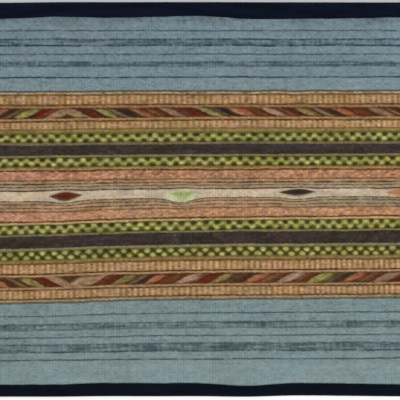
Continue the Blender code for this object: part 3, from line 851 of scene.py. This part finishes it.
# Materials
class Graph:
    """Short calls for making a material's nodes."""

    def __init__(self, name):
        self.material = bpy.data.materials.new(name)
        self.material.use_nodes = True
        self.tree = self.material.node_tree
        self.shader = self.tree.nodes["Principled BSDF"]

    def put(self, socket, value):
        if isinstance(value, bpy.types.NodeSocket):
            self.tree.links.new(value, socket)
        elif value is not None:
            socket.default_value = value

    def node(self, kind, inputs=None, output=0, **settings):
        made = self.tree.nodes.new("ShaderNode" + kind)
        for key, value in settings.items():
            setattr(made, key, value)
        for key, value in (inputs or {}).items():
            self.put(made.inputs[key], value)
        return made.outputs[output]

    def math(self, operation, a, b=None):
        return self.node("Math", {0: a, 1: b}, operation=operation)

    def total(self, *values):
        return reduce(lambda a, b: self.math("ADD", a, b), values)

    def product(self, *values):
        return reduce(lambda a, b: self.math("MULTIPLY", a, b), values)

    def stretch(self, value, low, high, to_low, to_high):
        inputs = {"Value": value, "From Min": low, "From Max": high, "To Min": to_low, "To Max": to_high}
        return self.node("MapRange", inputs)

    def noise(self, vector, scale, detail=2.0, roughness=0.5):
        """Noise at one scale, or at one along x and another along y."""
        if isinstance(scale, tuple):
            inputs = {0: vector, 1: (*scale, 1.0)}
            vector = self.node("VectorMath", inputs, operation="MULTIPLY")
            scale = 1.0
        inputs = {"Vector": vector, "Scale": scale, "Detail": detail, "Roughness": roughness}
        return self.node("TexNoise", inputs)

    def tint(self, colour, amount):
        """Colour times a grey amount."""
        return self.node("VectorMath", {0: colour, "Scale": amount}, operation="SCALE")

    def finish(self, look, colour=None, height=None, bump=None):
        """The shader's own values, and its colour and bump."""
        for name, value in look.items():
            self.shader.inputs[name].default_value = value
        if height is not None:
            self.put(self.shader.inputs["Base Color"], colour)
            inputs = {"Strength": BUMP_STRENGTH, "Distance": bump, "Height": height}
            self.put(self.shader.inputs["Normal"], self.node("Bump", inputs))
        return self.material


BUMP_STRENGTH = 0.8
WOOL_BUMP = 0.25 * MM
WOOL_LOOK = {"Roughness": 0.95, "Specular IOR Level": 0.10, "Sheen Weight": 0.07, "Sheen Roughness": 0.6}
TWIST_PITCH = (1.5 * MM, 0.9 * MM)  # of the yarn's twist along the weft and down the weave
TAPE_BUMP = 0.16 * MM
TAPE_LOOK = {"Roughness": 0.85, "Specular IOR Level": 0.05, "Sheen Weight": 0.0}


def wool():
    """Hand-spun wool wefts packed over the warp: rounded beads, slanting twist, fibres, uneven dye, and
    painted shade in the grooves between the beads and along the twist.
    """
    g = Graph("wool")
    yarn = g.node("Attribute", attribute_name="yarn")
    weave = g.node("Attribute", output=1, attribute_name="weave")
    u, q = g.node("SeparateXYZ", {0: weave}).node.outputs[:2]
    warp = g.math("ROUND", u)
    from_warp = g.math("ABSOLUTE", g.math("SUBTRACT", u, warp))
    from_pick = g.math("PINGPONG", g.math("SUBTRACT", g.math("SUBTRACT", q, 0.5), warp), 1.0)
    across_bead = g.math("SUBTRACT", 1.0, g.math("POWER", g.product(from_warp, 2.0), 4.0))
    along_bead = g.math("SUBTRACT", 1.0, g.math("POWER", from_pick, 3.0))
    bead = g.product(across_bead, along_bead)
    slant = g.total(g.product(u, WARP / TWIST_PITCH[0]), g.product(q, PICK / TWIST_PITCH[1]))
    wobble = g.noise(weave, (3.0, 1.5))
    twist = g.math("SINE", g.product(g.total(slant, wobble), 2 * pi))
    fibre = g.noise(weave, (6.0, 5.0), 4.0, 0.65)
    fleck = g.noise(weave, (0.55, 0.5), 3.0, 0.6)
    abrash = g.noise(weave, (0.05, 0.3))
    tone_and_shade = g.product(
        g.stretch(fibre, 0.25, 0.75, 0.90, 1.09),
        g.stretch(fleck, 0.3, 0.7, 0.88, 1.13),
        g.stretch(abrash, 0.3, 0.7, 0.94, 1.06),
        # painted shade in the grooves: the twist and bead terms darken the colour where the bump is low
        g.stretch(twist, -1.0, 1.0, 0.95, 1.04),
        g.stretch(bead, 0.0, 0.8, 0.80, 1.03),
    )
    height = g.total(g.product(bead, 0.6), g.product(twist, 0.07), g.product(fibre, 0.55))
    return g.finish(WOOL_LOOK, g.tint(yarn, tone_and_shade), height, WOOL_BUMP)


def tape_cloth(name, dye):
    """Close-woven navy cotton tape: its threads, painted shade between them, dye in uneven streaks, and paler
    where it is rubbed.
    """
    g = Graph(name)
    place = g.node("Attribute", output=1, attribute_name="weave")
    rub = g.node("Attribute", output=2, attribute_name="rub")
    parts = g.node("SeparateXYZ", {0: place}).node.outputs[:2]
    wobble = g.product(g.noise(place, 260.0), 0.25 * TAPE_THREAD)
    turns = (g.product(g.total(part, wobble), 2 * pi / TAPE_THREAD) for part in parts)
    weave = g.product(*(g.math("SINE", turn) for turn in turns))
    lint = g.noise(place, 900.0, 3.0, 0.6)
    cloud = g.noise(place, (14.0, 90.0), 3.0)
    streak = g.noise(place, (30.0, 420.0))
    red = g.noise(place, (9.0, 60.0))
    tone_and_shade = g.product(
        g.stretch(cloud, 0.3, 0.7, 0.68, 1.38),
        g.stretch(lint, 0.3, 0.75, 0.85, 1.25),
        g.stretch(streak, 0.3, 0.7, 0.82, 1.2),
        # painted shade between the threads, where the weave's bump is low
        g.stretch(weave, -0.7, 0.7, 0.70, 1.25),
        g.total(1.0, g.product(rub, 0.9)),
    )
    hue = {0: g.stretch(red, 0.3, 0.7, 0.72, 1.36), 1: g.stretch(red, 0.3, 0.7, 1.12, 0.90), 2: 1.0}
    hue = g.node("CombineXYZ", hue)
    dyed = g.node("VectorMath", {0: dye, 1: hue}, operation="MULTIPLY")
    height = g.total(g.product(weave, 0.8), g.product(lint, 0.5))
    return g.finish(TAPE_LOOK, g.tint(dyed, tone_and_shade), height, TAPE_BUMP)


# Bindings: each a closed strip of tape folded over one end of the cloth, sewn through near its inner edge
TAPE_ENDS = {1: "upper", -1: "lower"}  # by the side of the cloth
TAPE_COLUMNS = 451
TAPE_STEPS = ((9, 12, 4), (5, 6, 3))  # how finely face leg, fold and back leg are divided, outside and inside
TAPE_THREAD = 0.9 * MM
TAPE_WAVER = 0.35 * MM  # of the inner edge of the face leg
TAPE_PUCKER = 0.18 * MM
TAPE_EDGE_ROUNDING = 0.45  # as a share of the thickness
TAPE_RUB_REACH = 2.2 * MM  # in from the fold
FACE_STEPS_MM = (0.0, 0.7, 1.5, 2.1, 2.6, 3.1, 3.6, 4.2, 5.2)  # from the inner edge, closest at the seam
SEAM_INSET = 2.9 * MM
SEAM_DEPTH = 0.30 * MM
SEAM_WIDTH = 0.8 * MM
STITCH_PITCH = 4.4 * MM
STITCH_STRAY = 0.12 * MM
STITCH_SLANT = 0.10
STITCH_HALF = (1.35 * MM, 0.30 * MM, 0.20 * MM)  # half length, width and height
STITCH_RISE = 0.06 * MM
STITCH_RINGS = (-0.6, 0.0, 0.6)
STITCH_SIDES = 5
STITCH_RUB = 0.5
CREASE_RISE = 0.30 * MM
CREASE_WIDTH = 1.5 * MM
CREASE_SLANT = 0.2
CREASES_MM = {1: (-32.0,), -1: (-236.0, -180.0, 229.0)}  # small folds across the upper and the lower tape


def tape_line(face_leg, fold_steps, back_steps, inset):
    """Line of the tape's section as depth in from the fold and height, inset from its outer side."""
    radius = FOLD_RADIUS - inset
    angle = pi * np.arange(1, fold_steps) / fold_steps
    back_leg = np.linspace(FOLD_RADIUS, TAPE_BACK_WIDTH, back_steps)
    depth = np.concatenate((face_leg, FOLD_RADIUS - radius * np.sin(angle), back_leg))
    legs = np.full(len(face_leg), 2 * FOLD_RADIUS - inset), np.full(back_steps, inset)
    return depth, np.concatenate((legs[0], FOLD_RADIUS + radius * np.cos(angle), legs[1]))


def tape_face_edge(x, side):
    """How far the face leg reaches in from the fold."""
    return across(TAPE_ENDS[side] + "_width", x) + TAPE_WAVER * field(x, 0.0, 13 * MM, 1.0, 31 + side)


def tape_drop(x, depth, face, side):
    """How far the face leg lies below its full height: puckers and the seam's pull, less at a crease."""
    pucker = TAPE_PUCKER * np.abs(field(x, depth, 9 * MM, 7 * MM, 33 + side)) * ramp(depth, 1, 4)
    pull = 0.75 + 0.25 * np.cos(2 * pi * x / STITCH_PITCH)
    seam = SEAM_DEPTH * pull * np.exp(-(((face - depth - SEAM_INSET) / SEAM_WIDTH) ** 2))
    off_creases = (x - CREASE_SLANT * depth - place * MM for place in CREASES_MM[side])
    crease = sum(np.exp(-((off / CREASE_WIDTH) ** 2)) for off in off_creases)
    return pucker + seam - CREASE_RISE * crease * smooth(depth / (5 * MM)) * smooth((face - depth) / (4 * MM))


def stitches(side):
    """Points and faces of the row of stitches, each a small closed shell that lies in the seam's groove."""
    count = int(LENGTH / STITCH_PITCH) - 1
    number = np.arange(count)
    x = (number - (count - 1) / 2) * STITCH_PITCH
    face = tape_face_edge(x, side)
    depth = face - SEAM_INSET + STITCH_STRAY * each(number, 0, 61 + side)
    y = side * (HEIGHT / 2 - across(TAPE_ENDS[side] + "_in", x) - depth)
    z = 2 * FOLD_RADIUS - tape_drop(x, depth, face, side) + STITCH_RISE
    rings, turns = np.meshgrid(STITCH_RINGS, 2 * pi * np.arange(STITCH_SIDES) / STITCH_SIDES, indexing="ij")
    size = np.sqrt(1 - rings**2)
    shape = np.stack((rings, size * np.cos(turns), size * np.sin(turns)), axis=-1).reshape(-1, 3)
    shape = np.concatenate((shape, [[-1, 0, 0], [1, 0, 0]])) * STITCH_HALF
    points = np.stack((x, y, z), axis=-1)[:, None] + shape
    points[..., 1] += shape[:, 0] * STITCH_SLANT * each(number, 1, 61 + side)[:, None]
    index = np.arange(rings.size).reshape(rings.shape)
    index = np.concatenate((index, index[:, :1]), axis=1)
    faces = list(np.roll(quads(index)[:, ::-1], 1, axis=1))
    faces += [np.array((rings.size, b, a)) for a, b in zip(index[0], index[0, 1:])]
    faces += [np.array((rings.size + 1, a, b)) for a, b in zip(index[-1], index[-1, 1:])]
    return points, faces


def binding(name, side, material):
    """A tape folded over one end of the cloth: side is 1 for the upper end and -1 for the lower."""
    sections = []
    rubs = []
    places = []
    (outer_steps, *outer_turn), (inner_steps, *inner_turn) = TAPE_STEPS
    middle = TAPE_THICKNESS / 2
    edge = TAPE_EDGE_ROUNDING * TAPE_THICKNESS
    for x in np.linspace(-LENGTH / 2, LENGTH / 2, TAPE_COLUMNS):
        face = float(tape_face_edge(x, side))
        fold_in = float(across(TAPE_ENDS[side] + "_in", x))
        near = face - np.array(FACE_STEPS_MM) * MM
        outer_leg = np.concatenate((near, np.linspace(near[-1], FOLD_RADIUS, outer_steps)[1:]))
        inner_leg = np.linspace(face, FOLD_RADIUS, inner_steps)
        outer_depth, outer_height = tape_line(outer_leg, *outer_turn, 0.0)
        inner_depth, inner_height = tape_line(inner_leg, *inner_turn, TAPE_THICKNESS)
        on_face = np.arange(len(outer_depth)) < len(outer_leg)
        outer_height = outer_height - np.where(on_face, tape_drop(x, outer_depth, face, side), 0.0)
        depth = np.concatenate((outer_depth, [TAPE_BACK_WIDTH + edge], inner_depth[::-1], [face + edge]))
        height = np.concatenate((outer_height, [middle], inner_height[::-1], [2 * FOLD_RADIUS - middle]))
        fold_share = 1 - np.clip(depth / TAPE_BACK_WIDTH, 0, 1)
        y = side * (HEIGHT / 2 - np.where(height > FOLD_RADIUS, fold_in, fold_in * fold_share) - depth)
        sections.append(np.stack((np.full_like(depth, x), y, height), axis=-1))
        rubs.append(np.exp(-((depth / TAPE_RUB_REACH) ** 2)))
        run = np.concatenate(([0.0], np.cumsum(np.hypot(np.diff(depth), np.diff(height)))))
        places.append(np.stack((np.full_like(run, x), run, np.zeros_like(run)), axis=-1))
    index = np.arange(np.size(rubs)).reshape(TAPE_COLUMNS, -1)
    faces = [*quads(np.concatenate((index, index[:, :1]), axis=1))]
    caps = [index[0], index[-1, ::-1]]
    if side < 0:
        faces, caps = ([corners[::-1] for corners in group] for group in (faces, caps))
    sewn, sewn_faces = stitches(side)
    faces += [index.size + n * sewn.shape[1] + corners for n in range(len(sewn)) for corners in sewn_faces]
    sewn = sewn.reshape(-1, 3)
    points = np.concatenate((np.reshape(sections, (-1, 3)), sewn))
    piece = new_piece(name, points, faces + caps, material, len(faces))
    rub = np.concatenate((np.ravel(rubs), np.full(len(sewn), STITCH_RUB)))
    add_attribute(piece, "rub", "FLOAT", "POINT", "value", rub)
    places = np.concatenate((np.reshape(places, (-1, 3)), sewn))
    add_attribute(piece, "weave", "FLOAT_VECTOR", "POINT", "vector", places)
    return piece


# Pieces
wool_material = wool()
cloth = [cloth_piece(name, start_mm, end_mm, wool_material) for name, start_mm, end_mm in CUTS_MM]
for piece in cloth:
    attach(piece, "root")
    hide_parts("woven_panel")

UPPER_DYE = (0.0032, 0.0055, 0.0136)  # linear RGB
# the lower tape's navy is darker than the upper one's partly as painted shade, against the key lamp that
# lights the lower tape more
LOWER_DYE_AND_SHADE = (0.0021, 0.0039, 0.0080)
upper_navy = tape_cloth("navy_tape_upper", UPPER_DYE)
lower_navy = tape_cloth("navy_tape_lower", LOWER_DYE_AND_SHADE)
upper = binding("binding_upper", 1, upper_navy)
lower = binding("binding_lower", -1, lower_navy)
for piece, node in ((upper, "upper_binding"), (lower, "lower_binding")):
    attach(piece, "root")
    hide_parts(node)

for piece, (_, start_mm, end_mm) in zip(cloth, CUTS_MM):
    size = min(end_mm * MM, HEIGHT - EDGE_DEPTH) - max(start_mm * MM, EDGE_DEPTH)

# Floor, light and camera
MM_PER_PIXEL = 1.2685
PHOTO_PIXELS = 400
PHOTO_CENTRE_Y = -0.57 * MM
FLOOR_SIZE = 8.0
FLOOR_LOOK = {"Base Color": (0.86, 0.86, 0.86, 1.0), "Roughness": 0.9, "Specular IOR Level": 0.1}
LAMPS = (  # name, place, size, power and colour; each points to the middle of the cloth
    ("key", (0.5, -1.9, 1.55), (1.6, 0.7), 48.0, (1.0, 0.985, 0.96)),
    ("top", (0.0, 0.3, 2.4), (2.4, 2.0), 15.5, (0.97, 0.985, 1.0)),
)
SKY_COLOUR = (1.0, 1.0, 1.0, 1.0)
SKY_STRENGTH = 0.46
FOCAL_LENGTH = 85.0
SENSOR_WIDTH = 36.0

bpy.ops.mesh.primitive_plane_add(size=FLOOR_SIZE, location=(0, 0, 0))
floor = bpy.context.object
floor.name = "floor"
floor.data.materials.append(Graph("floor").finish(FLOOR_LOOK))

for name, place, size, power, colour in LAMPS:
    light = bpy.data.lights.new(name, "AREA")
    light.shape = "RECTANGLE"
    light.size, light.size_y = size
    light.energy = power
    light.color = colour
    lamp = bpy.data.objects.new(name, light)
    lamp.location = place
    lamp.rotation_mode = "QUATERNION"
    lamp.rotation_quaternion = (-Vector(place)).to_track_quat("-Z", "Y")
    bpy.context.scene.collection.objects.link(lamp)

world = bpy.data.worlds.new("studio")
world.use_nodes = True
world.node_tree.nodes["Background"].inputs["Color"].default_value = SKY_COLOUR
world.node_tree.nodes["Background"].inputs["Strength"].default_value = SKY_STRENGTH
bpy.context.scene.world = world
bpy.context.scene.view_settings.view_transform = "Standard"

camera_data = bpy.data.cameras.new("camera")
camera_data.lens = FOCAL_LENGTH
camera_data.sensor_width = SENSOR_WIDTH
camera = bpy.data.objects.new("camera", camera_data)
view_width = PHOTO_PIXELS * MM_PER_PIXEL * MM
camera.location = (0.0, PHOTO_CENTRE_Y, view_width * FOCAL_LENGTH / SENSOR_WIDTH)
bpy.context.scene.collection.objects.link(camera)
bpy.context.scene.camera = camera

bpy.context.view_layer.update()
